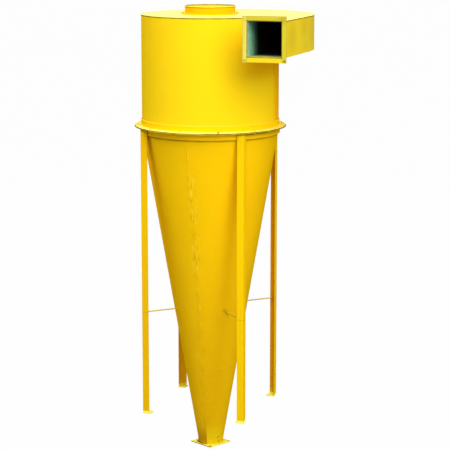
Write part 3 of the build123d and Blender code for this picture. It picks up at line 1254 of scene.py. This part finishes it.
# %% Welds of the gas outlet
BASE_BEAD = 2.0 * MM
PIPE_BEAD = 2.4 * MM
bm = bmesh.new()
bead_ring(bm, base_radius, roof_top, BASE_BEAD, 31, 420)
bead_ring(bm, outlet_radius, high("outlet_base_ring").z, PIPE_BEAD, 32, 420)
weld_piece("gas_outlet_welds", bm, base_ring_enamel)

# %% [markdown]
# Twelve bolts hold the two rings together, all made alike: a hexagon head with eased
# corners, a washer above and below, the shank and the nut, turned to its place round the
# axis. They were sprayed with the rest, apart from one that was changed later and is bare.

# %% Bolts of the joint
BOLTS = 12
BOLT_PITCH_RADIUS = (ring_radius + cone_top_radius) / 2 + 4 * MM
FIRST_BOLT = radians(-64)
BOLT_R = 4 * MM
HEX_R = 13 * MM / sqrt(3)
HEAD_HEIGHT = 5.3 * MM
NUT_HEIGHT = 6.5 * MM
WASHER_R = 8.5 * MM
WASHER_T = 1.6 * MM
SHANK_OUT = 5 * MM
DARK_STEEL = (0.035, 0.030, 0.025, 1)
RUST = (0.10, 0.035, 0.012, 1)


def add_disc(bm, radius, low_z, height, segments, ease=0.0):
    """Upright prism with its upper rim eased."""
    place = Matrix.Translation((0, 0, low_z + height / 2))
    made = bmesh.ops.create_cone(
        bm, cap_ends=True, segments=segments, radius1=radius, radius2=radius, depth=height, matrix=place
    )
    if ease:
        rim = [
            edge
            for edge in {edge for vert in made["verts"] for edge in vert.link_edges}
            if all(abs(vert.co.z - low_z - height) < 1e-6 for vert in edge.verts)
        ]
        rounding = {"offset_type": "OFFSET", "affect": "EDGES", "segments": 2, "profile": 0.5, "material": -1}
        bmesh.ops.bevel(bm, geom=rim, offset=ease, **rounding)


def make_bolt(turn):
    """Bolt with washers and nut through both rings, at a turn round the axis."""
    bm = bmesh.new()
    top = joint_height + RING_T
    washer_low = joint_height - RING_T - WASHER_T
    shank_low = washer_low - NUT_HEIGHT - SHANK_OUT
    add_disc(bm, WASHER_R, top, WASHER_T, 24, 0.3 * MM)
    add_disc(bm, HEX_R, top + WASHER_T, HEAD_HEIGHT, 6, 0.9 * MM)
    add_disc(bm, WASHER_R, washer_low, WASHER_T, 24)
    add_disc(bm, HEX_R, washer_low - NUT_HEIGHT, NUT_HEIGHT, 6, 0.5 * MM)
    add_disc(bm, BOLT_R, shank_low, top - shank_low, 16)
    out = Matrix.Translation((BOLT_PITCH_RADIUS, 0, 0)) @ Matrix.Rotation(turn * 5, 4, "Z")
    bmesh.ops.transform(bm, matrix=Matrix.Rotation(turn, 4, "Z") @ out, verts=bm.verts)
    return bm


bare_steel, inputs, where = new_paint("bare_steel")
spots = ramp(grain(where, 180.0), 0.45, 0.6)
feed(inputs["Base Color"], mix_colour(spots, DARK_STEEL, RUST))
inputs["Metallic"].default_value = 0.4
inputs["Roughness"].default_value = 0.6
for index in range(BOLTS):
    bolt = make_bolt(FIRST_BOLT + 2 * pi * index / BOLTS)
    if index == 0:
        paint_faces(bolt, lambda face: face.calc_center_median().z > joint_height + RING_T)
    finish_piece("ring_bolt_%02d" % (index + 1), bolt, [enamel, bare_steel])

# %% [markdown]
# Two bolts from the last pipe stay in the outer holes of the inlet's frame, put in from
# behind. The photograph shows the lower one as a dark end in its hole and the upper one
# painted over. Their ends lie just below the face, so a new gasket still sits flat.

# %% Bolts left in the inlet's frame
FRAME_T = 4 * MM
END_BELOW_FACE = 0.6 * MM

# The lower bolt's bare dark end also serves as painted shade in its hole.
for name, height, material in (
    ("frame_bolt_lower", hole_low, bare_steel),
    ("frame_bolt_upper", hole_high, bar_enamels["top"]),
):
    bm = bmesh.new()
    add_disc(bm, BOLT_R, 0.0, FRAME_T - END_BELOW_FACE, 24, 0.4 * MM)
    add_disc(bm, WASHER_R, -WASHER_T, WASHER_T, 24)
    add_disc(bm, HEX_R, -WASHER_T - HEAD_HEIGHT, HEAD_HEIGHT, 6)
    lying = Matrix.Translation((hole_right, mouth_y + FRAME_T, height)) @ Matrix.Rotation(pi / 2, 4, "X")
    bmesh.ops.transform(bm, matrix=lying, verts=bm.verts)
    finish_piece(name, bm, [material])

# %% [markdown]
# The frame's four bars are welded to the ends of the duct's sheets, and the duct's long
# edges carry one bead each. The legs are welded under the ring and onto their foot plates.
# All these beads are straight lines from corner to corner.

# %% Welds of the inlet
EDGE_BEAD = 1.3 * MM
DUCT_BEAD = 1.8 * MM
bead_y = mouth_y + 1.6 * EDGE_BEAD
opening_low_x = high("duct_inner_wall").x
opening_high_x = low("duct_outer_wall").x
corners = [
    Vector((opening_low_x, bead_y, duct_floor_top)),
    Vector((opening_high_x, bead_y, duct_floor_top)),
    Vector((opening_high_x, bead_y, roof_under)),
    Vector((opening_low_x, bead_y, roof_under)),
]
bm = bmesh.new()
for index, corner in enumerate(corners):
    bead_line(bm, corner, corners[(index + 1) % 4], EDGE_BEAD, 40 + index, step=3 * MM)
weld_piece("inlet_welds", bm, edge_grime_and_shade)

# %% Welds of the duct
duct_start_y = high("inlet_flange_outer").y
bm = bmesh.new()
for seed, height in ((51, duct_floor_under), (52, roof_under)):
    start = Vector((scroll_right, duct_start_y, height))
    bead_line(bm, start, Vector((scroll_right, scroll_start_y, height)), DUCT_BEAD, seed, step=3 * MM)
weld_piece("duct_welds", bm, duct_enamel)

# %% Welds of legs and feet
FOOT_BEAD = 2.6 * MM
TOP_BEAD = 2.2 * MM
BEAD_IN = 0.5 * MM

bm = bmesh.new()
for number, name in enumerate(("front_right", "back_right", "back_left", "front_left")):
    leg_low, leg_high = low("leg_" + name), high("leg_" + name)
    heel_x, toe_x = (leg_high.x, leg_low.x) if "right" in name else (leg_low.x, leg_high.x)
    heel_y, toe_y = (leg_high.y, leg_low.y) if "back" in name else (leg_low.y, leg_high.y)
    for height, thickness in ((leg_low.z + BEAD_IN, FOOT_BEAD), (leg_high.z - BEAD_IN, TOP_BEAD)):
        heel = Vector((heel_x, heel_y, height))
        bead_line(bm, heel, Vector((toe_x, heel_y, height)), thickness, 60 + number)
        bead_line(bm, heel, Vector((heel_x, toe_y, height)), thickness, 70 + number)
weld_piece("leg_welds", bm, leg_enamel)

# %% [markdown]
# The last step prints the size of the CAD model and closes the script.

# %% Print the CAD model's size and finish
print("CAD box", [[round(v, 4) for v in corner] for corner in cad_box])
